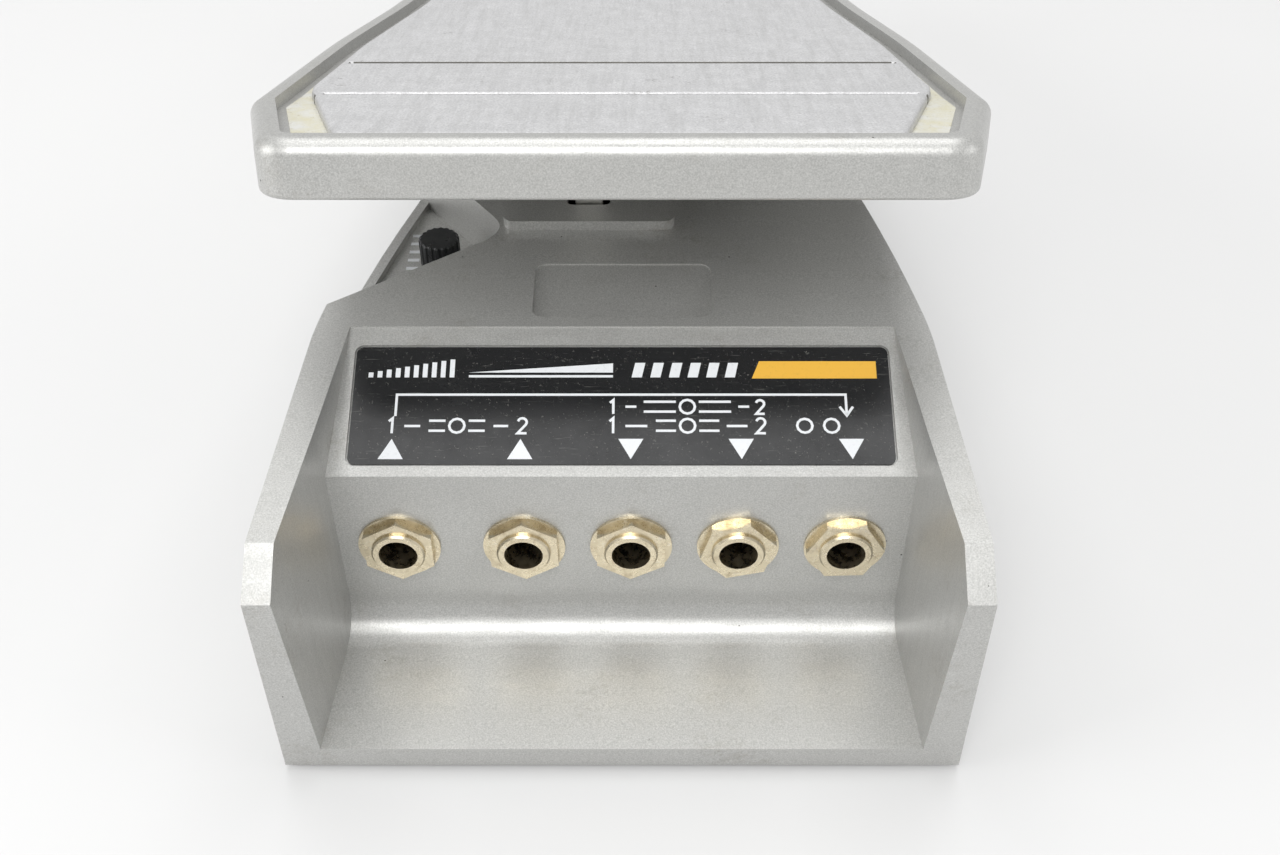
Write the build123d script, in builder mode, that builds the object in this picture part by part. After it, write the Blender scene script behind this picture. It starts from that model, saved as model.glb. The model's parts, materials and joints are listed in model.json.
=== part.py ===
"""Volume pedal: a drafted housing with a jack bay at its toe end, and a rocking treadle that turns
a potentiometer through a toothed sector. Millimetres. +Z up, toe end towards -Y, origin on the
floor under the middle of the pedal. The treadle is modelled heel down, its rest position."""

import os
from math import acos, atan2, cos, degrees, pi, radians, sin, tan

from build123d import *

os.makedirs("parts", exist_ok=True)

# Overall size and the housing
length = 278
wall = 2.6
draft = 2.9
skirt_z = 1.0
deck_z = 56.3
deck_fall_start, deck_fall = 158, 14
heel_station, heel_z = 265, 29.6
panel_station, panel_top = 30, 43.6
slope_end, slope_top = 55, 54.5
plate_bottom, plate_thick = 2.0, 1.2
plate_top = plate_bottom + plate_thick
fit_gap = 0.2
plate_inset, plate_middle, plate_length = 1.8, 141.5, 268
boss_r, screw_r = 3.6, 1.25

# Jacks: standard 6.35 mm sockets with M9 bushings
jack_x = (-37.5, -16.5, 1.5, 19.5, 37.5)
jack_z = 27.6
jack_bore_r, jack_barrel_r = 3.25, 4.5
jack_body_size, jack_body_depth = 15, 21
washer_r, washer_thick = 6.9, 0.5
nut_across, nut_thick = 11.4, 1.3
nut_turns = (30, 31, 29, 14, 2)
barrel_proud = 2.5

# Trim scoop on the left side and its knob
knob_x, knob_station = -34.3, 84
scoop_floor, scoop_lip, scoop_wall = 44.9, 46.3, 4.2
knob_r, knob_bottom, knob_top = 3.75, 45.4, 52.9

# Treadle, measured along it from its toe edge and up from the pivot
pivot_station, pivot_z = 165, 47
rest_tilt = 14
toe_reach = 131.25
tread_length = 232
tread_top, tread_edge = 19.63, 9
recess_depth, tread_plate = 2.0, 2.6
tread_under = tread_top - recess_depth - tread_plate
rim = 4
ear_inner, ear_outer, ear_r = 37, 41.5, 8
bush_r, bush_flange_r, bush_flange = 4.5, 6.2, 0.8
shaft_r, shaft_half = 3.0, 43
running_gap = 0.05

# Drive gear: toothed sector on the treadle, pinion on the potentiometer
module = 0.75
sector_teeth, pinion_teeth = 200, 14
sector_r, pinion_r = module * sector_teeth / 2, module * pinion_teeth / 2
addendum, dedendum, tooth_play = 0.6, 0.85, 0.1
mesh_angle = 12.23
sector_x, sector_wide = -9, 5
rack_middle, rack_station = -6.5, 59
rack_screw_spots = ((rack_middle - 6.7, rack_station), (rack_middle + 6.7, rack_station))

# Planes: plan gives (x, station), side gives (station, z), front gives (x, z) and faces the toe
toe = (0, -length / 2, 0)
plan = Plane(origin=toe, x_dir=(1, 0, 0), z_dir=(0, 0, 1))
side = Plane(origin=toe, x_dir=(0, 1, 0), z_dir=(1, 0, 0))
front = Plane(origin=toe, x_dir=(1, 0, 0), z_dir=(0, -1, 0))
c, s = cos(radians(rest_tilt)), sin(radians(rest_tilt))
tread_origin = (0, pivot_station - length / 2 - toe_reach * c, pivot_z + toe_reach * s)
tread_plan = Plane(origin=tread_origin, x_dir=(1, 0, 0), z_dir=(0, s, c))
tread_side = Plane(origin=tread_origin, x_dir=(0, c, -s), z_dir=(1, 0, 0))
slope_angle = degrees(atan2(slope_top - panel_top, slope_end - panel_station))
slope_normal = (0, -sin(radians(slope_angle)), cos(radians(slope_angle)))
slope = Plane(
    origin=(0, panel_station - length / 2, panel_top), x_dir=(1, 0, 0), z_dir=slope_normal
)


def finish(piece, name):
    """Label a finished piece and write it out."""
    piece.part.label = name
    export_step(piece.part, f"parts/{name}.step")


def deck_height(station):
    """Height of the housing's top at a station behind the label slope."""
    fall = max(0, station - deck_fall_start) * tan(radians(deck_fall))
    return deck_z - fall


# Plan outline of the housing at its skirt, right half drawn and mirrored
with BuildSketch() as body_outline:
    with BuildLine():
        Polyline((0, -6), (56.9, -6), (54.7, 54))
        ThreePointArc((54.7, 54), (50.2, 79.5), (42.5, 110))
        Polyline((42.5, 110), (39, 137), (38, 165), (38, 240), (34, 278), (0, 278))
        mirror(about=Plane.YZ)
    make_face()
    fillet(body_outline.vertices().filter_by_position(Axis.Y, 50, 245), radius=70)
    heel_corners = body_outline.vertices().filter_by_position(Axis.Y, 270, 280)
    fillet(heel_corners, radius=14)

# Plan outline of the treadle
with BuildSketch() as tread_outline:
    with BuildLine():
        Polyline((0, 0), (52, 0), (58.2, 23), (53.6, 62.7), (48.1, 94.3), (43.4, 131), (40.8, 175))
        Polyline((40.8, 175), (39.7, tread_length), (0, tread_length))
        mirror(about=Plane.YZ)
    make_face()
    fillet(tread_outline.vertices().filter_by_position(Axis.Y, 60, 180), radius=200)
    fillet(tread_outline.vertices().filter_by_position(Axis.Y, -1, 1), radius=6)
    fillet(tread_outline.vertices().filter_by_position(Axis.Y, 22, 24), radius=3)
    fillet(tread_outline.vertices().filter_by_position(Axis.Y, 230, 233), radius=12)

# Space of the jack bay: above the tray, before the panel and above the label slope
with BuildPart() as bay_space:
    with BuildSketch(side.offset(-60)):
        with BuildLine():
            Polyline((-10, 6.2), (4, 6.2), (panel_station, 8.1), (panel_station, panel_top))
            Polyline((panel_station, panel_top), (slope_end, slope_top), (slope_end, 70))
            Polyline((slope_end, 70), (-10, 70), (-10, 6.2))
        bay_face = make_face()
        corners = bay_face.vertices().filter_by_position(Axis.X, panel_station - 1, panel_station + 1)
        fillet(corners.sort_by(Axis.Y)[0], radius=6.8)
        fillet(corners.sort_by(Axis.Y)[-1], radius=1.5)
    extrude(amount=120)
    with BuildSketch(plan):
        with BuildLine():
            Polyline((0, -10), (50.9, -10), (47.75, panel_station), (46, slope_end), (0, slope_end))
            mirror(about=Plane.YZ)
        make_face()
    extrude(amount=80, mode=Mode.INTERSECT)

# Hollow of the housing behind the jack panel
with BuildPart() as hollow_space:
    for height in (0, 58):
        with BuildSketch(plan.offset(skirt_z + height)):
            add(body_outline.sketch)
            offset(amount=-wall - height * tan(radians(draft)))
    loft()
    with BuildSketch(side.offset(-60)):
        slope_drop = wall / cos(radians(slope_angle))
        inner_slope = tan(radians(slope_angle))
        with BuildLine():
            Polyline(
                (panel_station + wall, plate_top),
                (panel_station + wall, panel_top - slope_drop + wall * inner_slope),
                (slope_end + wall, deck_z - wall - 1.4),
                (90, deck_z - wall),
                (deck_fall_start, deck_z - wall),
                (heel_station - wall, heel_z - wall),
                (heel_station + 8, 16),
                (heel_station + 9, plate_top),
                close=True,
            )
        make_face()
    extrude(amount=120, mode=Mode.INTERSECT)

# Screw bosses of the base plate, and the scoop round the trim knob
boss_spots = ((48.2, 62), (-48.2, 62), (31, 136), (-31, 136), (31, 250), (-31, 250))
scoop_corners = ((-60, 54.5), (-24.6, 79.3), (-21.9, 83), (-24.1, 86.3), (-60, 133.4))

with BuildPart() as scoop_space:
    with BuildSketch(plan.offset(scoop_lip)) as scoop_sketch:
        with BuildLine():
            Polyline(*scoop_corners, close=True)
        scoop_face = make_face()
        fillet(scoop_face.vertices().filter_by_position(Axis.X, -25, -20), radius=4)
    extrude(amount=20)
    with BuildSketch(plan.offset(scoop_floor)):
        add(body_outline.sketch)
        offset(amount=-scoop_wall)
        add(scoop_sketch.sketch_local, mode=Mode.INTERSECT)
    extrude(amount=scoop_lip - scoop_floor)

# Pocket that the toe bumper lands in, deeper towards the toe
with BuildPart() as pocket_space:
    with BuildSketch(side.offset(-20)):
        with BuildLine():
            Polyline((55, 60), (55, 52.4), (75, 55.8), (75, 60), close=True)
        make_face()
    extrude(amount=40)
    with BuildSketch(plan.offset(50)):
        with Locations((0, 64.8)):
            RectangleRounded(31, 14.6, 2)
    extrude(amount=12, mode=Mode.INTERSECT)

with BuildPart() as upper_housing:
    with BuildSketch(plan.offset(skirt_z)):
        add(body_outline.sketch)
    extrude(amount=70, taper=draft)
    with BuildSketch(side.offset(-60)):
        with BuildLine():
            Polyline((4.5, skirt_z), (0, 46.9), (6.1, 53.5), (54, 54.7), (90, deck_z))
            Polyline((90, deck_z), (deck_fall_start, deck_z), (heel_station, heel_z))
            Polyline((heel_station, heel_z), (length, 17), (length - 1, skirt_z), (4.5, skirt_z))
        side_face = make_face()
        fillet(side_face.vertices().filter_by_position(Axis.X, 264, 278.5).sort_by(Axis.Y)[1:], 5)
        fillet(side_face.vertices().filter_by_position(Axis.Y, 46, 54).sort_by(Axis.X)[:2], 0.8)
    extrude(amount=120, mode=Mode.INTERSECT)
    add(hollow_space.part, mode=Mode.SUBTRACT)
    # Screw bosses, shaft bosses and the scoop's own walls stand inside the hollow
    with BuildSketch(plan.offset(plate_top)):
        with Locations(*boss_spots):
            Circle(boss_r)
    extrude(until=Until.NEXT)
    with BuildSketch(side.offset(-36)):
        with Locations((pivot_station, pivot_z)):
            Circle(6.5)
    extrude(amount=10)
    with BuildSketch(side.offset(26)):
        with Locations((pivot_station, pivot_z)):
            Circle(6.5)
    extrude(amount=10)
    with BuildSketch(plan.offset(scoop_floor - 2.4)):
        with BuildLine():
            Polyline((-48.5, 58), (-22, 76), (-18.5, 83), (-22, 89), (-38.5, 112), (-44, 108), close=True)
        make_face()
    extrude(amount=11.5)
    # Everything is trimmed again by the drafted outline
    with BuildSketch(plan.offset(skirt_z)):
        add(body_outline.sketch)
    extrude(amount=70, taper=draft, mode=Mode.INTERSECT)
    add(bay_space.part, mode=Mode.SUBTRACT)
    add(scoop_space.part, mode=Mode.SUBTRACT)
    # Raised collar and slot for the toothed sector
    with BuildSketch(plan.offset(deck_z - 1)):
        with Locations((-6.35, 92)):
            RectangleRounded(31.3, 20, 2)
    extrude(amount=2.6)
    with BuildSketch(plan.offset(deck_z - 6)):
        with Locations((-6.5, 93)):
            RectangleRounded(8, 11, 1)
    extrude(amount=12, mode=Mode.SUBTRACT)
    add(pocket_space.part, mode=Mode.SUBTRACT)
    # Recess of the base plate in the skirt
    with BuildSketch(plan):
        add(body_outline.sketch)
        offset(amount=-plate_inset)
        with Locations((0, plate_middle)):
            Rectangle(120, plate_length, mode=Mode.INTERSECT)
    extrude(amount=plate_top, mode=Mode.SUBTRACT)
    with BuildSketch(plan.offset(plate_top)):
        with Locations(*boss_spots):
            Circle(screw_r)
    extrude(amount=12, mode=Mode.SUBTRACT)
    # Label recess in the slope, jack holes, shaft bore and trim shaft hole
    with BuildSketch(slope.offset(-0.6)):
        with Locations((0, 12.9)):
            RectangleRounded(89.6, 22, 1.5)
    extrude(amount=5, mode=Mode.SUBTRACT)
    with BuildSketch(front.offset(-panel_station + 1)):
        with Locations(*[(x, jack_z) for x in jack_x]):
            Circle(jack_barrel_r + running_gap)
    extrude(amount=-wall - 2, mode=Mode.SUBTRACT)
    with BuildSketch(side.offset(-50)):
        with Locations((pivot_station, pivot_z)):
            Circle(shaft_r + 0.02)
    extrude(amount=100, mode=Mode.SUBTRACT)
    with BuildSketch(plan.offset(40)):
        with Locations((knob_x, knob_station)):
            Circle(3.5)
    extrude(amount=10, mode=Mode.SUBTRACT)
finish(upper_housing, "upper_housing")

# Base plate with its feet and screws
foot_spots = {"front_left": (-43, 26), "front_right": (43, 26), "rear_left": (-25, 260)}
foot_spots["rear_right"] = (25, 260)
bracket_screw_spots = ((13, 80.5), (13, 92.7))
with BuildPart() as base_plate:
    with BuildSketch(plan.offset(plate_bottom)):
        add(body_outline.sketch)
        offset(amount=-plate_inset - fit_gap)
        with Locations((0, plate_middle)):
            Rectangle(120, plate_length - 2 * fit_gap, mode=Mode.INTERSECT)
        with Locations(*boss_spots):
            Circle(1.7, mode=Mode.SUBTRACT)
        with Locations(*bracket_screw_spots):
            Circle(screw_r, mode=Mode.SUBTRACT)
    extrude(amount=plate_thick)
finish(base_plate, "base_plate")

for place, spot in foot_spots.items():
    with BuildPart() as foot:
        with BuildSketch(plan):
            with Locations(spot):
                Circle(7)
        extrude(amount=plate_bottom, taper=-8)
    finish(foot, f"foot_{place}")

with BuildPart() as base_screws:
    with BuildSketch(plan.offset(plate_bottom)):
        with Locations(*boss_spots):
            Circle(screw_r)
    extrude(amount=9)
    with BuildSketch(plan.offset(plate_bottom)):
        with Locations(*boss_spots):
            Circle(2.9)
    extrude(amount=-1.3, taper=15)
finish(base_screws, "base_screws")

with BuildPart() as label_plate:
    with BuildSketch(slope.offset(-0.6)):
        with Locations((0, 12.9)):
            RectangleRounded(89, 21.4, 1.2)
    extrude(amount=0.5)
finish(label_plate, "label_plate")

# Jacks: bushing through the panel, moulded body behind it, contact spring inside
body_front = panel_station + wall
with BuildPart() as jack_board:
    with BuildSketch(plan.offset(jack_z - jack_body_size / 2 - 1.7)):
        with Locations((0, 47)):
            Rectangle(90, 25)
    extrude(amount=1.6)
finish(jack_board, "jack_board")

for number, x in enumerate(jack_x, 1):
    with BuildPart() as jack_body:
        with BuildSketch(front.offset(-body_front)):
            with Locations((x, jack_z)):
                Rectangle(jack_body_size, jack_body_size)
        extrude(amount=-jack_body_depth)
        with BuildSketch(front.offset(-body_front)):
            with Locations((x, jack_z)):
                Rectangle(10, 10)
        extrude(amount=1.5 - jack_body_depth, mode=Mode.SUBTRACT)
    finish(jack_body, f"jack_{number}_body")
    with BuildPart() as bushing:
        with BuildSketch(front.offset(barrel_proud - panel_station)):
            with Locations((x, jack_z)):
                Circle(jack_barrel_r)
                Circle(jack_bore_r, mode=Mode.SUBTRACT)
        extrude(amount=-barrel_proud - wall - 1)
        mouth = bushing.faces().sort_by(Axis.Y)[0]
        chamfer(mouth.edges().sort_by(SortBy.LENGTH)[-1], length=0.3)
    finish(bushing, f"jack_{number}_bushing")

with BuildPart() as jack_washers:
    with BuildSketch(front.offset(-panel_station)):
        with Locations(*[(x, jack_z) for x in jack_x]):
            Circle(washer_r)
            Circle(jack_barrel_r + running_gap, mode=Mode.SUBTRACT)
    extrude(amount=washer_thick)
finish(jack_washers, "jack_washers")

with BuildPart() as jack_nuts:
    for x, turn in zip(jack_x, nut_turns):
        with BuildSketch(front.offset(washer_thick - panel_station)):
            with Locations((x, jack_z)):
                RegularPolygon(nut_across / 2, 6, major_radius=False, rotation=turn)
                Circle(jack_barrel_r, mode=Mode.SUBTRACT)
        extrude(amount=nut_thick)
finish(jack_nuts, "jack_nuts")

with BuildPart() as jack_contacts:
    with BuildSketch(front.offset(-body_front - 6)):
        with Locations(*[(x, jack_z + 4.5) for x in jack_x]):
            Rectangle(4, 0.5)
    extrude(amount=-12)
finish(jack_contacts, "jack_contacts")

# Pivot
with BuildPart() as pivot_shaft:
    with BuildSketch(side.offset(-shaft_half)):
        with Locations((pivot_station, pivot_z)):
            Circle(shaft_r)
    extrude(amount=2 * shaft_half)
    for x in (-ear_outer - 1.1, ear_outer + 0.3):
        with BuildSketch(side.offset(x)):
            with Locations((pivot_station, pivot_z)):
                Circle(shaft_r + 1)
                Circle(shaft_r - 0.6, mode=Mode.SUBTRACT)
        extrude(amount=0.8, mode=Mode.SUBTRACT)
    chamfer(pivot_shaft.edges().filter_by(GeomType.CIRCLE).group_by(Axis.X)[0], length=0.2)
    chamfer(pivot_shaft.edges().filter_by(GeomType.CIRCLE).group_by(Axis.X)[-1], length=0.2)
finish(pivot_shaft, "pivot_shaft")

for place, x in (("left", -ear_outer - 1.05), ("right", ear_outer + 0.35)):
    with BuildPart() as clip:
        with BuildSketch(side.offset(x)):
            with Locations((pivot_station, pivot_z)):
                Circle(5.2)
                Circle(shaft_r - 0.6, mode=Mode.SUBTRACT)
            with Locations((pivot_station, pivot_z - 4)):
                Rectangle(4.4, 8, mode=Mode.SUBTRACT)
        extrude(amount=0.7)
    finish(clip, f"shaft_clip_{place}")

# Drive potentiometer on its bracket
reach = sector_r + pinion_r
pinion_station = pivot_station - reach * cos(radians(mesh_angle))
pinion_z = pivot_z - reach * sin(radians(mesh_angle))
pot_bush_r, pot_shaft_r, pinion_seat_r = 3.5, 3.0, 2.0

with BuildPart() as pot_bracket:
    with BuildSketch(side.offset(1.2)):
        with Locations((pinion_station, 22.1)):
            Rectangle(21, 2 * (22.1 - plate_top))
        with Locations((pinion_station, pinion_z)):
            Circle(pot_bush_r, mode=Mode.SUBTRACT)
    extrude(amount=1.8)
    with BuildSketch(plan.offset(plate_top)):
        with Locations((9.6, pinion_station)):
            Rectangle(13.2, 21)
        with Locations(*bracket_screw_spots):
            Circle(1.5, mode=Mode.SUBTRACT)
    extrude(amount=1.8)
finish(pot_bracket, "pot_bracket")

with BuildPart() as bracket_screws:
    with BuildSketch(plan.offset(plate_bottom + 0.1)):
        with Locations(*bracket_screw_spots):
            Circle(screw_r)
    extrude(amount=plate_thick + 1.7)
    with BuildSketch(plan.offset(plate_top + 1.8)):
        with Locations(*bracket_screw_spots):
            Circle(2.6)
    extrude(amount=1.6, taper=12)
finish(bracket_screws, "bracket_screws")

with BuildPart() as drive_pot_body:
    with BuildSketch(side.offset(3)):
        with Locations((pinion_station, pinion_z)):
            Circle(8)
    extrude(amount=8)
    with BuildSketch(side.offset(-1.2)):
        with Locations((pinion_station, pinion_z)):
            Circle(pot_bush_r)
    extrude(amount=4.2)
    with BuildSketch(side.offset(-1.2)):
        with Locations((pinion_station, pinion_z)):
            Circle(pot_shaft_r + running_gap)
    extrude(amount=10, mode=Mode.SUBTRACT)
finish(drive_pot_body, "drive_pot_body")

with BuildPart() as drive_pot_nut:
    with BuildSketch(side.offset(-0.9)):
        with Locations((pinion_station, pinion_z)):
            RegularPolygon(5, 6, major_radius=False)
            Circle(pot_bush_r, mode=Mode.SUBTRACT)
    extrude(amount=2.1)
finish(drive_pot_nut, "drive_pot_nut")

with BuildPart() as drive_pot_shaft:
    with BuildSketch(side.offset(8.3)):
        with Locations((pinion_station, pinion_z)):
            Circle(pot_shaft_r)
    extrude(amount=-11)
    with BuildSketch(side.offset(-2.7)):
        with Locations((pinion_station, pinion_z)):
            Circle(pinion_seat_r)
    extrude(amount=-7)
finish(drive_pot_shaft, "drive_pot_shaft")


def tooth(pitch_r, teeth, angle, sink):
    """Outline of one involute tooth centred on an angle, sunk below its root by sink."""
    base_r = pitch_r * cos(radians(20))
    root_r, tip_r = pitch_r - dedendum - sink, pitch_r + addendum

    def involute(r):
        roll = acos(min(1, base_r / r))
        return tan(roll) - roll

    half_pitch = pi / (2 * teeth) - tooth_play / (2 * pitch_r) + involute(pitch_r)
    start_r = max(base_r, root_r)
    radii = [start_r + (tip_r - start_r) * step / 4 for step in range(5)]
    if root_r < start_r:
        radii.insert(0, root_r)
    flank = [(r, half_pitch - involute(max(r, start_r))) for r in radii]
    turns = [(r, a) for r, a in flank] + [(r, -a) for r, a in reversed(flank)]
    centre = radians(angle)
    return [(r * cos(centre + a), r * sin(centre + a)) for r, a in turns]


with BuildPart() as pinion:
    with BuildSketch(side.offset(sector_x)):
        with Locations((pinion_station, pinion_z)):
            Circle(pinion_r - dedendum + 0.05)
        for index in range(pinion_teeth):
            angle = mesh_angle + (index + 0.5) * 360 / pinion_teeth
            points = tooth(pinion_r, pinion_teeth, angle, 0.3)
            with BuildLine():
                Polyline(*[(x + pinion_station, z + pinion_z) for x, z in points], close=True)
            make_face()
        with Locations((pinion_station, pinion_z)):
            Circle(pinion_seat_r, mode=Mode.SUBTRACT)
    extrude(amount=sector_wide)
finish(pinion, "pinion")

# Trim potentiometer and its knob
with BuildPart() as trim_pot_body:
    with BuildSketch(plan.offset(scoop_floor - 2.5)):
        with Locations((knob_x, knob_station)):
            Circle(6)
    extrude(amount=-8)
    with BuildSketch(plan.offset(scoop_floor - 2.5)):
        with Locations((knob_x, knob_station)):
            Circle(3.4)
    extrude(amount=2.4)
    with BuildSketch(plan.offset(scoop_floor)):
        with Locations((knob_x, knob_station)):
            Circle(2 + running_gap)
    extrude(amount=-9, mode=Mode.SUBTRACT)
finish(trim_pot_body, "trim_pot_body")

with BuildPart() as trim_pot_shaft:
    with BuildSketch(plan.offset(scoop_floor - 8.6)):
        with Locations((knob_x, knob_station)):
            Circle(2)
    extrude(amount=knob_top - 1.5 - scoop_floor + 8.6)
finish(trim_pot_shaft, "trim_pot_shaft")

knob_grooves = 18
with BuildPart() as trim_knob:
    with BuildSketch(plan.offset(knob_bottom)):
        with Locations((knob_x, knob_station)):
            Circle(knob_r)
            with PolarLocations(knob_r + 0.15, knob_grooves):
                Circle(0.38, mode=Mode.SUBTRACT)
    extrude(amount=knob_top - knob_bottom)
    chamfer(trim_knob.faces().sort_by(Axis.Z)[-1].edges(), length=0.25)
    with BuildSketch(plan.offset(knob_bottom)):
        with Locations((knob_x, knob_station)):
            Circle(2)
    extrude(amount=knob_top - 1.5 - knob_bottom, mode=Mode.SUBTRACT)
finish(trim_knob, "trim_knob")

with BuildPart() as knob_scale:
    with BuildSketch(plan.offset(scoop_floor)):
        with Locations(*[(-40.3, 85.5 + 2.7 * step) for step in range(5)]):
            Rectangle(2.2, 0.8)
    extrude(amount=0.12)
finish(knob_scale, "knob_scale")

# Heel bumper on the falling deck
bumper_station, bumper_tall = 250, 7.6
with BuildPart() as heel_bumper:
    with BuildSketch(side.offset(-14)):
        with BuildLine():
            low = [(y, deck_height(y)) for y in (bumper_station - 6, bumper_station + 6)]
            high = [(y + bumper_tall * s, z + bumper_tall * c) for y, z in reversed(low)]
            Polyline(*low, *high, close=True)
        make_face()
    extrude(amount=28)
finish(heel_bumper, "heel_bumper")

# Treadle
with BuildPart() as treadle:
    with BuildSketch(tread_plan.offset(tread_top - tread_edge)):
        add(tread_outline.sketch)
    extrude(amount=tread_edge)
    top_face = treadle.faces().sort_by(Axis(tread_origin, (0, s, c)))[-1]
    fillet(top_face.edges(), radius=2.6)
    bottom_face = treadle.faces().sort_by(Axis(tread_origin, (0, s, c)))[0]
    fillet(bottom_face.edges(), radius=0.9)
    with BuildSketch(tread_plan.offset(tread_top - recess_depth)):
        add(tread_outline.sketch)
        offset(amount=-rim)
    extrude(amount=10, mode=Mode.SUBTRACT)
    with BuildSketch(tread_plan.offset(tread_top - tread_edge - 1)):
        add(tread_outline.sketch)
        offset(amount=-3)
    extrude(amount=tread_under - tread_top + tread_edge + 1, mode=Mode.SUBTRACT)
    # Stiffening ribs under the plate
    with BuildSketch(tread_plan.offset(tread_under - 3)):
        with Locations((24, 115), (-24, 115)):
            Rectangle(2, 190)
        with Locations(*[(0, station) for station in (20, 45, 90, 160, 188)]):
            Rectangle(76, 2)
    extrude(amount=3)
    for x in (-ear_outer, ear_inner):
        with BuildSketch(tread_side.offset(x)):
            with BuildLine():
                Polyline((toe_reach - 17, tread_under + 1), (toe_reach - ear_r, 0))
                ThreePointArc((toe_reach - ear_r, 0), (toe_reach, -ear_r), (toe_reach + ear_r, 0))
                Polyline((toe_reach + ear_r, 0), (toe_reach + 17, tread_under + 1))
                Line((toe_reach + 17, tread_under + 1), (toe_reach - 17, tread_under + 1))
            make_face()
        extrude(amount=ear_outer - ear_inner)
    with BuildSketch(tread_side.offset(-50)):
        with Locations((toe_reach, 0)):
            Circle(bush_r)
    extrude(amount=100, mode=Mode.SUBTRACT)
    with BuildSketch(tread_plan.offset(tread_under)):
        with Locations(*rack_screw_spots):
            Circle(screw_r)
    extrude(amount=2.2, mode=Mode.SUBTRACT)
finish(treadle, "treadle")

for place, outward in (("left", -1), ("right", 1)):
    with BuildPart() as bush:
        with BuildSketch(tread_side.offset(outward * ear_inner)):
            with Locations((toe_reach, 0)):
                Circle(bush_r)
        extrude(amount=outward * (ear_outer - ear_inner))
        with BuildSketch(tread_side.offset(outward * ear_inner)):
            with Locations((toe_reach, 0)):
                Circle(bush_flange_r)
        extrude(amount=-outward * bush_flange)
        with BuildSketch(tread_side.offset(outward * (ear_inner - 2))):
            with Locations((toe_reach, 0)):
                Circle(shaft_r + running_gap)
        extrude(amount=outward * 10, mode=Mode.SUBTRACT)
    finish(bush, f"pivot_bush_{place}")

# Pad glued in the recess: chamfered corners, cross grooves near each end
pad_thick, groove_wide, groove_deep = 1.8, 1.6, 1.0
with BuildPart() as tread_pad:
    with BuildSketch(tread_plan.offset(tread_top - recess_depth)) as pad_face:
        with BuildLine():
            Polyline((0, 4.1), (41.5, 4.1), (50.2, 31), (47, 61), (41.3, 94.3), (36.7, 131))
            Polyline((36.7, 131), (34.1, 175), (33.2, 218), (26, 227.5), (0, 227.5))
            mirror(about=Plane.YZ)
        make_face()
    extrude(amount=pad_thick)
    with BuildSketch(tread_plan.offset(tread_top - recess_depth + pad_thick - groove_deep)):
        with Locations((0, 26.6), (0, 47), (0, 185), (0, 205.4)):
            Rectangle(100, groove_wide)
        add(pad_face.sketch_local, mode=Mode.INTERSECT)
        offset(amount=-0.01)
    extrude(amount=5, mode=Mode.SUBTRACT)
finish(tread_pad, "tread_pad")

with BuildPart() as sector_rack:
    local_mesh = 180 + mesh_angle + rest_tilt
    with BuildSketch(tread_side.offset(sector_x)):
        first, last = radians(180 - 11.5), radians(local_mesh + 6)
        middle = (first + last) / 2
        inner, outer = sector_r - 6, sector_r - dedendum
        turns = (first, middle, last)
        around = [(toe_reach + r * cos(a), r * sin(a)) for r in (inner, outer) for a in turns]
        with BuildLine():
            ThreePointArc(around[0], around[1], around[2])
            Line(around[2], around[5])
            ThreePointArc(around[5], around[4], around[3])
            Line(around[3], around[0])
        make_face()
        for index in range(-11, 3):
            angle = local_mesh + index * 360 / sector_teeth
            with BuildLine():
                points = tooth(sector_r, sector_teeth, angle, 0.4)
                Polyline(*[(x + toe_reach, z) for x, z in points], close=True)
            make_face()
    extrude(amount=sector_wide)
    with BuildSketch(tread_plan.offset(tread_under - 3)):
        with Locations((rack_middle, rack_station)):
            RectangleRounded(20, 9, 1)
    extrude(amount=3)
    with BuildSketch(tread_plan.offset(tread_under)):
        with Locations((rack_middle, rack_station)):
            Rectangle(40, 40)
    extrude(amount=10, mode=Mode.SUBTRACT)
    with BuildSketch(tread_plan.offset(tread_under - 4)):
        with Locations(*rack_screw_spots):
            Circle(1.6)
    extrude(amount=6, mode=Mode.SUBTRACT)
finish(sector_rack, "sector_rack")

with BuildPart() as sector_screws:
    with BuildSketch(tread_plan.offset(tread_under - 3)):
        with Locations(*rack_screw_spots):
            Circle(screw_r)
    extrude(amount=5)
    with BuildSketch(tread_plan.offset(tread_under - 3)):
        with Locations(*rack_screw_spots):
            Circle(2.5)
    extrude(amount=-0.7)
finish(sector_screws, "sector_screws")

with BuildPart() as toe_bumper:
    with BuildSketch(tread_plan.offset(tread_under)):
        with Locations((0, 60 - pivot_station + toe_reach + 2.5)):
            RectangleRounded(24, 6, 1.5)
    extrude(amount=-7.2, taper=4)
finish(toe_bumper, "toe_bumper")
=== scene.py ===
"""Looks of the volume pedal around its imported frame. Metres, same frame as the CAD parts."""

import json
import bmesh
import bpy
from math import atan2, cos, pi, radians, sin, sqrt
from mathutils import Matrix, Vector


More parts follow.
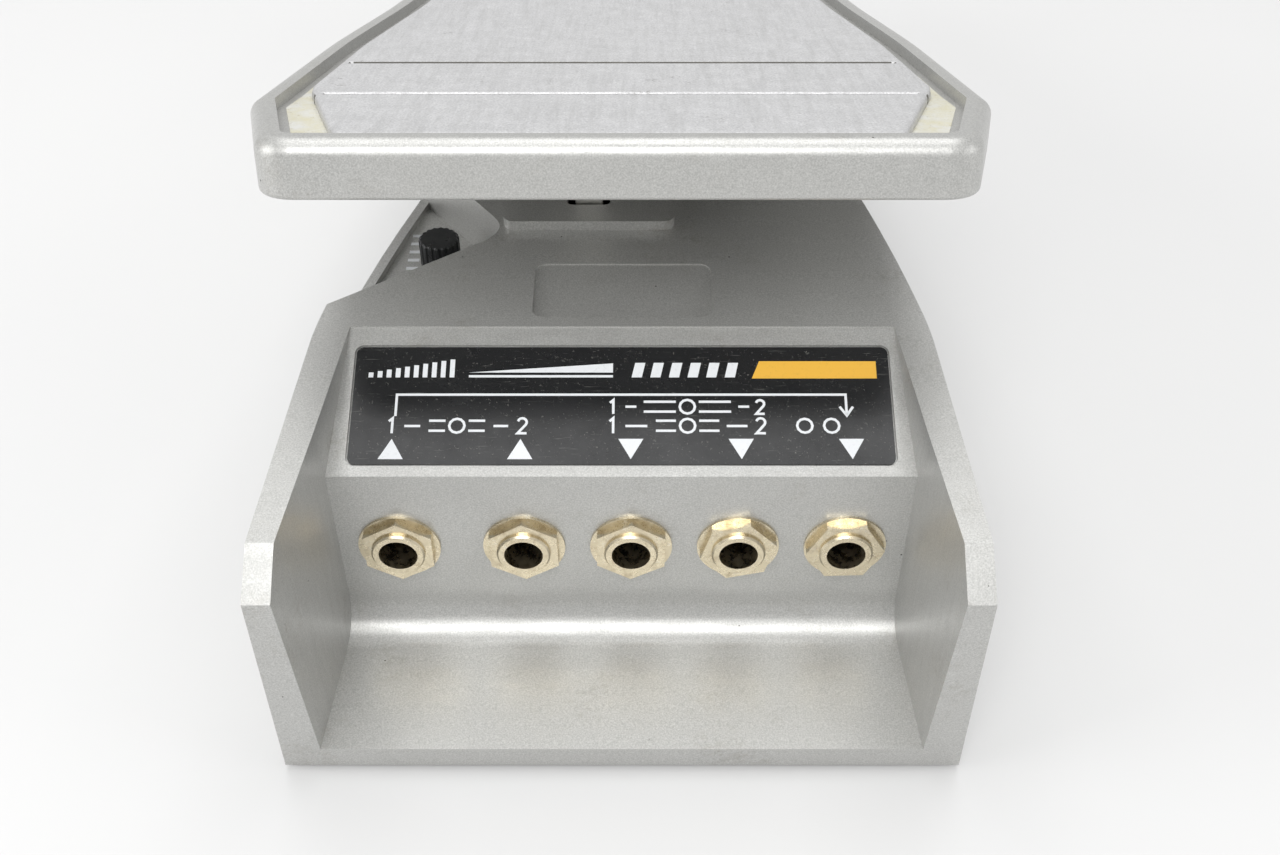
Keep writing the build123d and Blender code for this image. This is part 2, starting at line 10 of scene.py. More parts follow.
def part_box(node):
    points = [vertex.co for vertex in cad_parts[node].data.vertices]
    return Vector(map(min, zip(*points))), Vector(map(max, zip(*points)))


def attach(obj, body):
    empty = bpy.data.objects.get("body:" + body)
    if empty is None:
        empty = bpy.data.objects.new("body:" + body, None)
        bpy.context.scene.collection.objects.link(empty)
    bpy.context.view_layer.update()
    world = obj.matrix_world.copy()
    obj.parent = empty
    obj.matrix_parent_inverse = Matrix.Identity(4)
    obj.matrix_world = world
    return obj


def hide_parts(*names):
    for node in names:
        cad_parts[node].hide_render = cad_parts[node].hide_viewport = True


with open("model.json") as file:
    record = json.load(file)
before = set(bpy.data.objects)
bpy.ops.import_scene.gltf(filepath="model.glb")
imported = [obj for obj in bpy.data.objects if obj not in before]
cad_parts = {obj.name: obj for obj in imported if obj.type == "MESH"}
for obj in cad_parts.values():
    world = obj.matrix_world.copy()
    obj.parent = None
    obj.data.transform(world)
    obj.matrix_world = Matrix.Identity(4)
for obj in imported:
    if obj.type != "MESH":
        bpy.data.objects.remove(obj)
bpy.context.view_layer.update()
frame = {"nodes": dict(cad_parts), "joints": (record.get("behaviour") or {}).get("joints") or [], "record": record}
MM = 0.001


# ---------------------------------------------------------------- material helpers
class Paint:
    """A node material being built: each method adds one node and returns its output socket."""

    def __init__(self, name, base, rough, metallic=0.0, **sockets):
        self.material = bpy.data.materials.new(name)
        self.material.use_nodes = True
        self.nodes = self.material.node_tree.nodes
        self.links = self.material.node_tree.links
        self.shader = self.nodes["Principled BSDF"]
        self.shader.inputs["Base Color"].default_value = (*base, 1)
        self.shader.inputs["Roughness"].default_value = rough
        self.shader.inputs["Metallic"].default_value = metallic
        for socket, value in sockets.items():
            self.shader.inputs[socket.replace("_", " ")].default_value = value
        self.place = self.nodes.new("ShaderNodeTexCoord").outputs["Object"]
        self.heights = []

    def stretched(self, scale):
        """Object coordinates scaled unevenly, for grain and scratches."""
        node = self.nodes.new("ShaderNodeMapping")
        node.inputs["Scale"].default_value = scale
        self.links.new(self.place, node.inputs["Vector"])
        return node.outputs["Vector"]

    def noise(self, scale, detail=4, rough=0.6, vector=None):
        node = self.nodes.new("ShaderNodeTexNoise")
        node.inputs["Scale"].default_value = scale
        node.inputs["Detail"].default_value = detail
        node.inputs["Roughness"].default_value = rough
        self.links.new(vector or self.place, node.inputs["Vector"])
        return node.outputs["Fac"]

    def cells(self, scale):
        node = self.nodes.new("ShaderNodeTexVoronoi")
        node.inputs["Scale"].default_value = scale
        self.links.new(self.place, node.inputs["Vector"])
        return node.outputs["Distance"]

    def span(self, value, low, high, to_low=0.0, to_high=1.0):
        """Map low..high of a value to to_low..to_high, clamped."""
        node = self.nodes.new("ShaderNodeMapRange")
        settings = {"From Min": low, "From Max": high, "To Min": to_low, "To Max": to_high}
        for socket, number in settings.items():
            node.inputs[socket].default_value = number
        self.links.new(value, node.inputs["Value"])
        return node.outputs["Result"]

    def times(self, a, b):
        node = self.nodes.new("ShaderNodeMath")
        node.operation = "MULTIPLY"
        self.links.new(a, node.inputs[0])
        self.links.new(b, node.inputs[1])
        return node.outputs[0]

    def tint(self, colour, amount, other):
        """Blend a colour (tuple or socket) towards another one."""
        node = self.nodes.new("ShaderNodeMix")
        node.data_type = "RGBA"
        self.links.new(amount, node.inputs["Factor"])
        for socket, value in ((node.inputs[6], colour), (node.inputs[7], other)):
            if isinstance(value, tuple):
                socket.default_value = (*value, 1)
            else:
                self.links.new(value, socket)
        return node.outputs[2]

    def colour(self, value):
        self.links.new(value, self.shader.inputs["Base Color"])

    def rough(self, value):
        self.links.new(value, self.shader.inputs["Roughness"])

    def bump(self, height, strength, distance):
        """Stack a bump on those already there."""
        node = self.nodes.new("ShaderNodeBump")
        node.inputs["Strength"].default_value = strength
        node.inputs["Distance"].default_value = distance
        self.links.new(height, node.inputs["Height"])
        if self.heights:
            self.links.new(self.heights[-1], node.inputs["Normal"])
        self.heights.append(node.outputs["Normal"])
        self.links.new(node.outputs["Normal"], self.shader.inputs["Normal"])


def silver_paint(name, grime):
    """Silver lacquer: metal flake, fine orange peel, pits, scuffs and brownish dirt."""
    paint = Paint(name, (0.5, 0.5, 0.51), 0.36, 0.55, Coat_Weight=0.12, Coat_Roughness=0.3)
    flakes = paint.span(paint.noise(4200, 2, 0.5), 0.3, 0.72)
    colour = paint.tint((0.38, 0.38, 0.368), flakes, (0.58, 0.58, 0.562))
    cloud = paint.span(paint.noise(38, 5, 0.6), 0.3, 0.75, 0, 0.28)
    colour = paint.tint(colour, cloud, (0.42, 0.415, 0.395))
    dirt_patch = paint.span(paint.noise(55, 6, 0.65), 0.56, 0.78)
    dirt_fine = paint.span(paint.noise(900, 3, 0.7), 0.42, 0.7)
    dirt = paint.span(paint.times(dirt_patch, dirt_fine), 0, 1, 0, grime)
    colour = paint.tint(colour, dirt, (0.16, 0.125, 0.075))
    pits = paint.span(paint.cells(260), 0.035, 0.05, 1, 0)
    pit_places = paint.span(paint.noise(70, 2, 0.5), 0.56, 0.6)
    colour = paint.tint(colour, paint.times(pits, pit_places), (0.05, 0.045, 0.04))
    paint.colour(colour)
    scuff = paint.noise(1, 5, 0.7, paint.stretched((90, 700, 90)))
    paint.rough(paint.span(scuff, 0.3, 0.7, 0.30, 0.46))
    paint.bump(paint.noise(1500, 2, 0.5), 0.10, 0.00012)
    paint.bump(paint.noise(160, 3, 0.5), 0.12, 0.0004)
    return paint.material


def pad_rubber():
    """Silver-faced tread rubber: fine grain, long scuffs, dark rubbed specks."""
    paint = Paint("pad_rubber", (0.6, 0.6, 0.605), 0.42, 0.45)
    grain = paint.span(paint.noise(3000, 2, 0.6), 0.3, 0.7)
    colour = paint.tint((0.47, 0.47, 0.475), grain, (0.68, 0.68, 0.685))
    long_scuff = paint.noise(1, 6, 0.75, paint.stretched((900, 60, 60)))
    streak = paint.span(long_scuff, 0.45, 0.75, 0, 0.55)
    colour = paint.tint(colour, streak, (0.40, 0.40, 0.395))
    worn = paint.span(paint.noise(120, 6, 0.75), 0.60, 0.70, 0, 0.75)
    speck = paint.span(paint.noise(1600, 3, 0.7), 0.50, 0.62)
    colour = paint.tint(colour, paint.times(worn, speck), (0.14, 0.13, 0.12))
    paint.colour(colour)
    paint.rough(paint.span(paint.noise(260, 4, 0.6), 0.3, 0.7, 0.34, 0.56))
    paint.bump(paint.noise(2200, 2, 0.6), 0.22, 0.00012)
    paint.bump(paint.noise(90, 4, 0.6), 0.18, 0.0004)
    return paint.material


def aged_nickel(name, base=(0.70, 0.62, 0.46), stain=0.55):
    """Nickel plate gone warm, with brown tarnish in blotches and fine scratches."""
    paint = Paint(name, base, 0.27, 1.0)
    dark = paint.span(paint.noise(420, 6, 0.7), 0.52, 0.74, 0, stain)
    colour = paint.tint(base, dark, (0.30, 0.22, 0.12))
    bright = paint.span(paint.noise(700, 3, 0.6), 0.6, 0.8, 0, 0.5)
    paint.colour(paint.tint(colour, bright, (0.86, 0.84, 0.78)))
    paint.rough(paint.span(paint.noise(600, 5, 0.7), 0.3, 0.75, 0.16, 0.46))
    paint.bump(paint.noise(1, 3, 0.6, paint.stretched((3000, 500, 900))), 0.14, 0.00008)
    return paint.material


def plain_metal(name, base, rough):
    """Zinc plate or machined steel: drawn grain and cloudy roughness."""
    paint = Paint(name, base, rough, 1.0)
    cloud = paint.span(paint.noise(130, 5, 0.65), 0.35, 0.75, 0, 0.5)
    paint.colour(paint.tint(base, cloud, tuple(0.66 * part for part in base)))
    paint.rough(paint.span(paint.noise(500, 4, 0.6), 0.3, 0.7, rough - 0.08, rough + 0.14))
    paint.bump(paint.noise(1, 4, 0.6, paint.stretched((2600, 120, 400))), 0.10, 0.0001)
    return paint.material


def moulded(name, base, rough, grain=1400, dust=0.25, light=(0.3, 0.29, 0.27)):
    """Moulded plastic or rubber: fine spark-eroded grain, dust and rubbed patches."""
    paint = Paint(name, base, rough)
    patch = paint.span(paint.noise(210, 6, 0.7), 0.52, 0.8, 0, dust)
    paint.colour(paint.tint(base, patch, light))
    paint.rough(paint.span(paint.noise(330, 4, 0.6), 0.3, 0.7, rough - 0.08, rough + 0.12))
    paint.bump(paint.noise(grain, 3, 0.6), 0.25, 0.00012)
    return paint.material


def label_black():
    """Glossy black film: dust and hairline scratches, level and slanting."""
    black = (0.009, 0.0095, 0.0105)
    paint = Paint("label_print", black, 0.3, 0.0, Coat_Weight=0.05)
    across = paint.noise(1, 2, 0.9, paint.stretched((140, 2600, 2600)))
    hair = paint.span(across, 0.66, 0.70, 0, 0.35)
    upward = paint.noise(1, 2, 0.9, paint.stretched((1500, 1500, 90)))
    slant = paint.span(upward, 0.66, 0.69, 0, 0.4)
    colour = paint.tint(black, hair, (0.14, 0.14, 0.13))
    colour = paint.tint(colour, slant, (0.16, 0.16, 0.145))
    dust = paint.span(paint.noise(2600, 2, 0.6), 0.68, 0.74, 0, 0.4)
    paint.colour(paint.tint(colour, dust, (0.28, 0.27, 0.24)))
    paint.rough(paint.span(paint.noise(120, 5, 0.7), 0.3, 0.7, 0.18, 0.30))
    paint.bump(paint.noise(900, 3, 0.7), 0.06, 0.0001)
    return paint.material


def print_ink(name, base, worn_to=(0.3, 0.3, 0.3)):
    """Screen-printed ink: slightly uneven, a little worn."""
    paint = Paint(name, base, 0.42)
    uneven = paint.span(paint.noise(1800, 4, 0.7), 0.55, 0.78, 0, 0.45)
    paint.colour(paint.tint(base, uneven, worn_to))
    paint.rough(paint.span(paint.noise(800, 3, 0.6), 0.3, 0.7, 0.36, 0.52))
    paint.bump(paint.noise(1500, 3, 0.6), 0.1, 0.00005)
    return paint.material


def old_glue():
    """Yellowed adhesive film squeezed out round the tread pad."""
    paint = Paint("old_glue", (0.58, 0.56, 0.47), 0.55)
    thick = paint.span(paint.noise(260, 5, 0.7), 0.35, 0.7)
    colour = paint.tint((0.60, 0.60, 0.57), thick, (0.55, 0.52, 0.37))
    spots = paint.span(paint.noise(1100, 3, 0.7), 0.62, 0.70, 0, 0.5)
    paint.colour(paint.tint(colour, spots, (0.30, 0.24, 0.13)))
    paint.rough(paint.span(paint.noise(500, 4, 0.6), 0.3, 0.7, 0.42, 0.7))
    paint.bump(paint.noise(600, 5, 0.7), 0.5, 0.0003)
    return paint.material


SILVER = silver_paint("silver_paint", 0.55)
SILVER_TREAD = silver_paint("silver_paint_treadle", 0.45)
PAD = pad_rubber()
NICKEL = aged_nickel("aged_nickel")
ZINC = plain_metal("zinc_plate", (0.62, 0.63, 0.62), 0.38)
STEEL = plain_metal("screw_steel", (0.52, 0.52, 0.54), 0.3)
CASE = plain_metal("pot_case", (0.58, 0.58, 0.57), 0.34)
BRASS = plain_metal("contact_brass", (0.78, 0.6, 0.28), 0.28)
JACK_PLASTIC = moulded("jack_plastic", (0.03, 0.03, 0.032), 0.45)
ACETAL = moulded("acetal", (0.78, 0.77, 0.72), 0.4, light=(0.5, 0.47, 0.4))
RUBBER = moulded("rubber", (0.025, 0.025, 0.026), 0.7, grain=1100, dust=0.4, light=(0.16, 0.15, 0.14))
BOARD = moulded("board", (0.05, 0.2, 0.09), 0.35, light=(0.12, 0.3, 0.14))
KNOB = moulded("knob_plastic", (0.012, 0.013, 0.014), 0.32, dust=0.2, light=(0.12, 0.12, 0.11))
LABEL = label_black()
WHITE = print_ink("print_white", (0.76, 0.78, 0.80), (0.45, 0.46, 0.47))
YELLOW = print_ink("print_yellow", (0.80, 0.45, 0.055), (0.55, 0.31, 0.05))
GLUE = old_glue()
# Dark material for the tread pad's groove floors: painted shade in the grooves, with a few lighter dust patches
GROOVE_SHADE = moulded("groove_painted_shade", (0.11, 0.105, 0.095), 0.8, grain=2600, dust=0.5, light=(0.3, 0.29, 0.26))

NODE_LOOKS = {
    "silver_paint": SILVER,
    "zinc_plate": ZINC,
    "screw_steel": STEEL,
    "rubber": RUBBER,
    "pad_rubber": PAD,
    "label_print": LABEL,
    "scale_print": WHITE,
    "board": BOARD,
    "jack_plastic": JACK_PLASTIC,
    "aged_nickel": NICKEL,
    "contact_brass": BRASS,
    "pot_case": CASE,
    "acetal": ACETAL,
    "knob_plastic": KNOB,
}


def dress_nodes():
    """Give every CAD node the material of its slot, and soft edges where the casting has them."""
    slots = {entry["node"]: entry["material_slot"] for entry in frame["record"]["subparts"]}
    for name, obj in frame["nodes"].items():
        look = SILVER_TREAD if name == "treadle" else NODE_LOOKS[slots[name]]
        obj.data.materials.clear()
        obj.data.materials.append(look)
    for name, width in (("upper_housing", 0.7), ("treadle", 0.3), ("jack_nuts", 0.25)):
        bevel = frame["nodes"][name].modifiers.new("soft_edges", "BEVEL")
        bevel.width = width * MM
        bevel.segments = 3
        bevel.limit_method = "ANGLE"
        bevel.angle_limit = radians(28)
        bevel.harden_normals = False


# ---------------------------------------------------------------- mesh helpers
def add_piece(name, bm, material, body, smooth=True):
    """Turn a bmesh into a piece that rides on a body."""
    bmesh.ops.recalc_face_normals(bm, faces=bm.faces)
    mesh = bpy.data.meshes.new(name)
    bm.to_mesh(mesh)
    bm.free()
    mesh.materials.append(material)
    for face in mesh.polygons:
        face.use_smooth = smooth
    obj = bpy.data.objects.new(name, mesh)
    bpy.context.scene.collection.objects.link(obj)
    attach(obj, body)
    return obj


def slab(bm, outline, thick, matrix):
    """A closed flat slab with the given outline, raised by thick along the matrix's Z."""
    low = [bm.verts.new(matrix @ Vector((x, y, 0))) for x, y in outline]
    high = [bm.verts.new(matrix @ Vector((x, y, thick))) for x, y in outline]
    bm.faces.new(low)
    bm.faces.new(high)
    for i in range(len(outline)):
        j = (i + 1) % len(outline)
        bm.faces.new((low[i], low[j], high[j], high[i]))


def stroke(bm, points, wide, thick, matrix, closed=False):
    """A printed line of constant width with mitred corners."""
    count = len(points)
    left, right = [], []
    for i, point in enumerate(points):
        here = Vector(point)
        before = Vector(points[i - 1]) if i or closed else None
        after = Vector(points[(i + 1) % count]) if i < count - 1 or closed else None
        ways = [(here - before).normalized()] if before is not None else []
        if after is not None:
            ways.append((after - here).normalized())
        sides = [Vector((-way.y, way.x)) for way in ways]
        mid = sum(sides, Vector((0, 0))).normalized()
        half = wide / 2 / max(0.35, mid.dot(sides[0]))
        left.append(here + mid * half)
        right.append(here - mid * half)
    steps = count if closed else count - 1
    for i in range(steps):
        j = (i + 1) % count
        slab(bm, [left[i], right[i], right[j], left[j]], thick, matrix)


def lathe(bm, profile, centre, steps=48):
    """A solid of revolution about a vertical axis; profile is (radius, height) from axis to axis."""
    rings = []
    for radius, height in profile:
        if radius < 1e-7:
            rings.append([bm.verts.new(centre + Vector((0, 0, height)))])
            continue
        angles = [2 * pi * k / steps for k in range(steps)]
        ring = [Vector((radius * cos(a), radius * sin(a), height)) for a in angles]
        rings.append([bm.verts.new(centre + point) for point in ring])
    for low, high in zip(rings, rings[1:]):
        for k in range(steps):
            n = (k + 1) % steps
            if len(low) == 1:
                bm.faces.new((low[0], high[k], high[n]))
            elif len(high) == 1:
                bm.faces.new((low[k], low[n], high[0]))
            else:
                bm.faces.new((low[k], low[n], high[n], high[k]))


# ---------------------------------------------------------------- label print
LABEL_THICK = 0.5 * MM


def label_matrix():
    """Frame on the label's face: origin at its lower edge's middle, Y up the slope."""
    low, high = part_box("label_plate")
    rise, run = high.z - low.z, high.y - low.y
    # The box of a tilted plate holds its thickness too; these are its shares at the slope's angle
    share_up, share_along = 0.917, 0.4
    tilt = atan2(rise - LABEL_THICK * share_up, run - LABEL_THICK * share_along)
    origin = Vector((0, low.y, low.z + LABEL_THICK * cos(tilt)))
    return Matrix.Translation(origin) @ Matrix.Rotation(tilt, 4, "X")


def mm(points):
    return [(x * MM, y * MM) for x, y in points]


def arc(cx, cy, r, start, end, steps):
    turns = [radians(start + (end - start) * k / steps) for k in range(steps + 1)]
    return [(cx + r * cos(a), cy + r * sin(a)) for a in turns]


def digit_one(x, y, tall):
    return [(x - 0.22 * tall, y + 0.8 * tall), (x, y + tall), (x, y)]


def digit_two(x, y, tall):
    r = 0.27 * tall
    top = arc(x, y + tall - r, r, 165, -35, 8)
    return top + [(x - r, y), (x + r * 1.05, y)]


def print_label():
    """Generic line art: arrows, joining line, socket symbols, numerals, level wedge and a bar."""
    matrix = label_matrix() @ Matrix.Translation((0, 0, 0.01 * MM))
    ink, thin = 0.05 * MM, 0.42 * MM
    white, yellow = bmesh.new(), bmesh.new()
    # An arrow over each jack: the two at the left point up, the others down
    arrow_low, arrow_high, arrow_half = 0.9, 4.5, 2.05
    for x, points_up in zip((-37.5, -16.5, 1.5, 19.5, 37.5), (True, True, False, False, False)):
        base, tip = (arrow_low, arrow_high) if points_up else (arrow_high, arrow_low)
        slab(white, mm([(x - arrow_half, base), (x + arrow_half, base), (x, tip)]), ink, matrix)
    lines = [
        [(-37.2, 8.6), (-37.2, 12.5), (37, 12.5), (37, 8.8)],
        [(35.9, 10.3), (37, 8.7), (38.1, 10.3)],
        [(-35.6, 6.8), (-33, 6.8)],
        [(-21, 6.8), (-18.6, 6.8)],
        [(0.6, 6.8), (4.2, 6.8)],
        [(17.2, 6.8), (20.6, 6.8)],
        [(0.6, 10.3), (2.4, 10.3)],
        [(19.2, 10.3), (21, 10.3)],
    ]
    for x, y, tall in ((-37.6, 5.5, 2.7), (-1.4, 5.5, 2.7), (-1.4, 9, 2.5)):
        lines.append(digit_one(x, y, tall))
    for x, y, tall in ((-16.3, 5.5, 2.7), (22.8, 5.5, 2.7), (22.8, 9, 2.5)):
        lines.append(digit_two(x, y, tall))
    for points in lines:
        stroke(white, mm(points), thin, ink, matrix)
    # Socket symbols stand where a legend would: a ring, most with two bars each side
    row_low, row_high, ring_r, bar_gap = 6.85, 10.3, 1.25, 0.9
    rings = ((-27, row_low), (10.8, row_low), (30, row_low), (34.4, row_low), (10.8, row_high))
    for x, y in rings:
        stroke(white, mm(arc(x, y, ring_r, 0, 330, 11)), thin, ink, matrix, closed=True)
    bars = (
        (-31.6, -28.9, row_low), (-25.1, -22.4, row_low), (5.6, 8.9, row_low),
        (12.7, 16, row_low), (3.6, 8.9, row_high), (12.7, 18, row_high),
    )
    for start, end, y in bars:
        for bar_y in (y - bar_gap, y + bar_gap):
            stroke(white, mm([(start, bar_y), (end, bar_y)]), thin, ink, matrix)
    # Rising bars, a rule with a wedge on it, slanting blocks and the yellow bar
    base = 15.7
    for k in range(10):
        x, top = -42.2 + 1.5 * k, base + 0.9 + 0.27 * k
        slab(white, mm([(x, base), (x + 0.8, base), (x + 0.8, top), (x, top)]), ink, matrix)
    stroke(white, mm([(-25.5, 15.9), (-1.5, 15.9)]), thin, ink, matrix)
    slab(white, mm([(-25.5, 16.6), (-1.5, 16.6), (-1.5, 18.3)]), ink, matrix)
    for k in range(6):
        x = 1.6 + 3.1 * k
        block = [(x, base), (x + 1.7, base), (x + 2.3, base + 2.7), (x + 0.6, base + 2.7)]
        slab(white, mm(block), ink, matrix)
    slab(yellow, mm([(21.6, 15.5), (42.4, 15.5), (42.4, 18.7), (22.9, 18.7)]), ink, matrix)
    add_piece("label_white_art", white, WHITE, "base", smooth=False)
    add_piece("label_bar", yellow, YELLOW, "base", smooth=False)


# ---------------------------------------------------------------- tread pad and glue
# Treadle at rest, in mm along it from its toe edge and up from the pivot, as the CAD has it
TILT = radians(14)
TOE_REACH, RECESS_FLOOR = 131.25, 17.63
# Corners of the pad: (station, half-width)
PAD_OUTLINE = (
    (4.1, 41.5), (31, 50.2), (61, 47), (94.3, 41.3),
    (131, 36.7), (175, 34.1), (218, 33.2), (227.5, 26),
)


def tread_matrix():
    """Frame in the treadle's recess: X across, Y from its toe edge towards the heel, Z out of it."""
    pivot = Vector((0, *joint_place("treadle_rock")[1:]))
    turn = Matrix.Rotation(-TILT, 4, "X")
    return Matrix.Translation(pivot) @ turn @ Matrix.Translation((0, -TOE_REACH * MM, RECESS_FLOOR * MM))


def joint_place(name):
    return next(joint["pos_m"] for joint in frame["joints"] if joint["name"] == name)


def pad_half(station):
    """Half-width of the pad at a station, straight between its corners."""
    for (s0, w0), (s1, w1) in zip(PAD_OUTLINE, PAD_OUTLINE[1:]):
        if station <= s1:
            t = max(0, (station - s0) / (s1 - s0))
            return w0 + (w1 - w0) * t
    return PAD_OUTLINE[-1][1]


def tread_pad():
    """Pad with rounded edges and pressed cross grooves, each with a raised rear lip; the groove floors are painted
    dark as shade.
    """
    thick, edge = 1.85, 0.9
    grooves = (26.6, 47, 185, 205.4)
    groove_half, groove_deep, lip_wide, lip_tall = 0.6, 1.2, 1.2, 0.05
    fade_start, fade_wide = 1.6, 0.6
    floor_gap = 0.02
    start, end = PAD_OUTLINE[0][0], PAD_OUTLINE[-1][0]
    rounding = (0, 0.12, 0.3, 0.6, edge)
    stations = {start + d for d in rounding} | {end - d for d in rounding}
    stations |= {start + edge + k * (end - start - 2 * edge) / 90 for k in range(91)}
    for groove in grooves:
        stations |= {groove + d * 0.12 for d in range(-6, 16)}
    insets = (0, 0.1, 0.28, 0.55, edge, 1.6, 2.2)
    matrix = tread_matrix()
    bm = bmesh.new()

    def round_off(inset):
        inset = min(edge, inset)
        return sqrt(max(0, edge**2 - (edge - inset) ** 2)) - edge

    def relief(station, inset):
        """Groove depth and lip at a point; the grooves stop short of the sides."""
        height = 0
        fade = min(1, max(0, (inset - fade_start) / fade_wide))
        for groove in grooves:
            d = station - groove
            if abs(d) < groove_half:
                height -= groove_deep * fade * (1 - (abs(d) / groove_half) ** 4)
            elif groove_half <= d < groove_half + lip_wide:
                height += lip_tall * fade * sin(pi * (d - groove_half) / lip_wide)
        return height

    rows = []
    for station in sorted(stations):
        half = pad_half(station)
        columns = [-half + inset for inset in insets]
        inner = half - insets[-1]
        columns += [-inner + 2 * inner * k / 24 for k in range(1, 24)]
        columns += [half - inset for inset in reversed(insets)]
        end_inset = min(station - start, end - station)
        row = []
        for x in columns:
            inset = half - abs(x)
            z = thick + min(round_off(inset), round_off(end_inset)) + relief(station, inset)
            row.append(bm.verts.new(matrix @ Vector((x * MM, station * MM, z * MM))))
        rows.append(row)
    for one, two in zip(rows, rows[1:]):
        for k in range(len(one) - 1):
            bm.faces.new((one[k], one[k + 1], two[k + 1], two[k]))
    rim = [edge for edge in bm.edges if edge.is_boundary]
    sides = bmesh.ops.extrude_edge_only(bm, edges=rim)["geom"]
    inverse = matrix.inverted()
    for vert in (item for item in sides if isinstance(item, bmesh.types.BMVert)):
        flat = inverse @ vert.co
        flat.z = floor_gap * MM
        vert.co = matrix @ flat
    bmesh.ops.holes_fill(bm, edges=[e for e in bm.edges if e.is_boundary])
    pad = add_piece("tread_pad_moulded", bm, PAD, "treadle")
    # The groove floors get the second, dark material: painted shade inside the grooves
    pad.data.materials.append(GROOVE_SHADE)
    for face in pad.data.polygons:
        spot = inverse @ face.center
        near = min(abs(spot.y / MM - groove) for groove in grooves)
        if near < groove_half and spot.z < (thick - 0.3) * MM:
            face.material_index = 1
    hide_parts("tread_pad")


def glue_film():
    """Thin glue left on the recess floor beside the pad's cut corners."""
    matrix = tread_matrix()
    bm = bmesh.new()
    # Both edges run (station, half-width) along the cut corner, then on beside the pad
    quarters = (0, 0.25, 0.5, 0.75, 1)
    outer = [(2.4 + 22.2 * t, 46.9 + 6.0 * t) for t in quarters] + [(31, 51.9), (45, 50.4)]
    inner = [(4.6 + 25 * t, 41.0 + 8.4 * t) for t in quarters] + [(34, 49.0), (45, 47.9)]
    for sign in (-1, 1):
        for k in range(len(outer) - 1):
            corners = [(sign * w, st) for st, w in (outer[k], outer[k + 1], inner[k + 1], inner[k])]
            thick = 0.16 - 0.02 * k
            slab(bm, mm(corners), thick * MM, matrix)
    add_piece("glue_film", bm, GLUE, "treadle", smooth=False)


# ---------------------------------------------------------------- rubber pieces
def feet():
    """Rounded feet with a shallow dished sole; each stands for its CAD disc."""
    for name in ("front_left", "front_right", "rear_left", "rear_right"):
        low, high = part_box(f"foot_{name}")
        centre = Vector(((low.x + high.x) / 2, (low.y + high.y) / 2, low.z))
        r, tall = (high.x - low.x) / 2, high.z - low.z
        profile = [(0, 0.35 * MM), (r * 0.55, 0.3 * MM), (r * 0.68, 0.02 * MM), (r * 0.9, 0)]
        profile += [(r * 0.98, 0.25 * MM), (r, 0.7 * MM), (r * 0.985, tall), (0, tall)]
        bm = bmesh.new()
        lathe(bm, profile, centre)
        foot = add_piece(f"rubber_foot_{name}", bm, RUBBER, "base")
        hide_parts(f"foot_{name}")


def bumper(name, node, body, size, matrix, taper):
    """Tapered block with rounded corners; its Z points to the free face."""
    wide, deep, tall = size
    bm = bmesh.new()
    # Share of the height and of the plan size at each level, and how square the plan is
    levels = [(0, 1.0), (0.12, 1.0), (0.5, (1 + taper) / 2), (0.9, taper), (1.0, taper - 0.04)]
    power, around = 0.28, 40
    rings = []
    for level, scale in levels:
        ring = []
        for k in range(around):
            a = 2 * pi * k / around
            x = abs(cos(a)) ** power * (1 if cos(a) >= 0 else -1)
            y = abs(sin(a)) ** power * (1 if sin(a) >= 0 else -1)
            place = Vector((x * wide / 2 * scale, y * deep / 2 * scale, level * tall))
            ring.append(bm.verts.new(matrix @ place))
        rings.append(ring)
    for one, two in zip(rings, rings[1:]):
        for k in range(around):
            n = (k + 1) % around
            bm.faces.new((one[k], one[n], two[n], two[k]))
    bm.faces.new(rings[0])
    bm.faces.new(rings[-1])
    block = add_piece(name, bm, RUBBER, body)
    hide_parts(node)


def bumpers():
    """Toe bumper under the treadle and heel bumper on the falling deck."""
    toe_place = tread_matrix() @ Matrix.Translation((0, 28.75 * MM, -2.63 * MM))
    toe_place = toe_place @ Matrix.Rotation(pi, 4, "X")
    toe_size = (24 * MM, 6 * MM, 7.1 * MM)
    bumper("toe_bumper_block", "toe_bumper", "treadle", toe_size, toe_place, 0.93)
    low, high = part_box("heel_bumper")
    middle = (low + high) / 2
    heel_place = Matrix.Translation(middle) @ Matrix.Rotation(-TILT, 4, "X")
    heel_place = heel_place @ Matrix.Translation((0, 0, -3.8 * MM))
    heel_size = (27.6 * MM, 12 * MM, 7.5 * MM)
    bumper("heel_bumper_block", "heel_bumper", "base", heel_size, heel_place, 0.95)


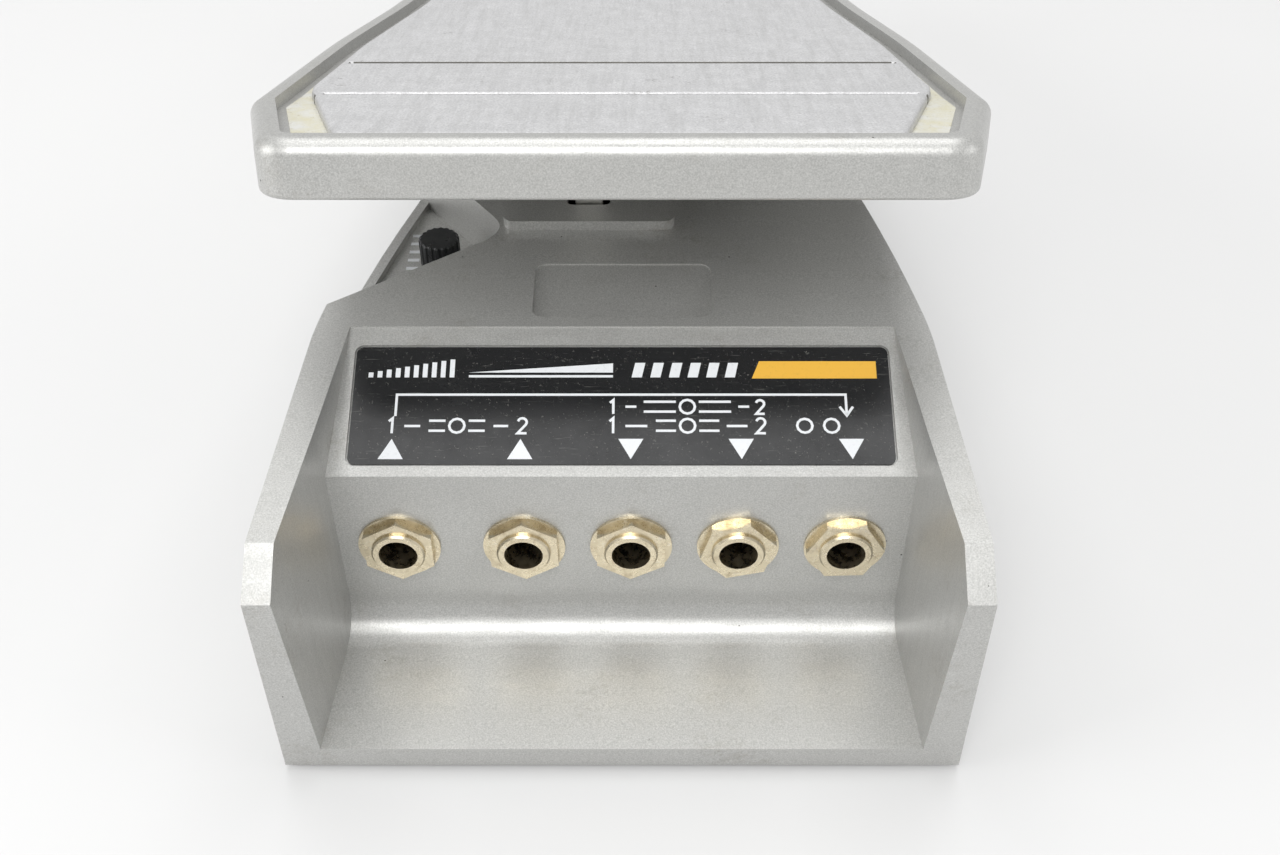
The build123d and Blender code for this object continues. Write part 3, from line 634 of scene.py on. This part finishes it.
# ---------------------------------------------------------------- room
def studio():
    """Pale floor, soft light and the camera."""
    bm = bmesh.new()
    bmesh.ops.create_grid(bm, x_segments=8, y_segments=8, size=3)
    mesh = bpy.data.meshes.new("floor")
    bm.to_mesh(mesh)
    bm.free()
    floor = bpy.data.objects.new("floor", mesh)
    bpy.context.scene.collection.objects.link(floor)
    paint = Paint("floor_paper", (0.61, 0.61, 0.61), 0.9)
    soft = paint.span(paint.noise(6, 2, 0.4), 0.3, 0.7)
    paint.colour(paint.tint((0.62, 0.62, 0.62), soft, (0.64, 0.64, 0.638)))
    mesh.materials.append(paint.material)
    world = bpy.data.worlds.new("studio")
    bpy.context.scene.world = world
    world.use_nodes = True
    background = world.node_tree.nodes["Background"]
    background.inputs["Color"].default_value = (1, 1, 1, 1)
    background.inputs["Strength"].default_value = 0.6
    middle, toe_half = (0, 0, 0.04), (0, -0.05, 0.04)
    # Name, place, target, size in metres, power in watts
    lamps = (
        ("softbox_front", (-0.1, -0.9, 1.05), toe_half, 0.7, 9.5),
        ("softbox_top", (0.0, 0.35, 1.3), middle, 1.1, 9),
        ("softbox_left", (-1.1, -0.3, 0.45), toe_half, 0.7, 5),
        ("softbox_right", (1.1, -0.3, 0.45), toe_half, 0.7, 2),
    )
    for name, place, target, size, power in lamps:
        light = bpy.data.lights.new(name, "AREA")
        light.size = size
        light.energy = power
        lamp = bpy.data.objects.new(name, light)
        lamp.location = place
        aim = Vector(target) - Vector(place)
        lamp.rotation_euler = aim.to_track_quat("-Z", "Y").to_euler()
        bpy.context.scene.collection.objects.link(lamp)
    lens = bpy.data.cameras.new("camera")
    lens.lens = 39.375
    lens.sensor_width = 36
    lens.clip_start = 0.01
    camera = bpy.data.objects.new("camera", lens)
    camera.location = (3 * MM, -271.3 * MM, 200.4 * MM)
    camera.rotation_euler = (radians(48), 0, 0)
    bpy.context.scene.collection.objects.link(camera)
    bpy.context.scene.camera = camera
    bpy.context.scene.view_settings.view_transform = "Standard"


dress_nodes()
print_label()
tread_pad()
glue_film()
feet()
bumpers()
studio()
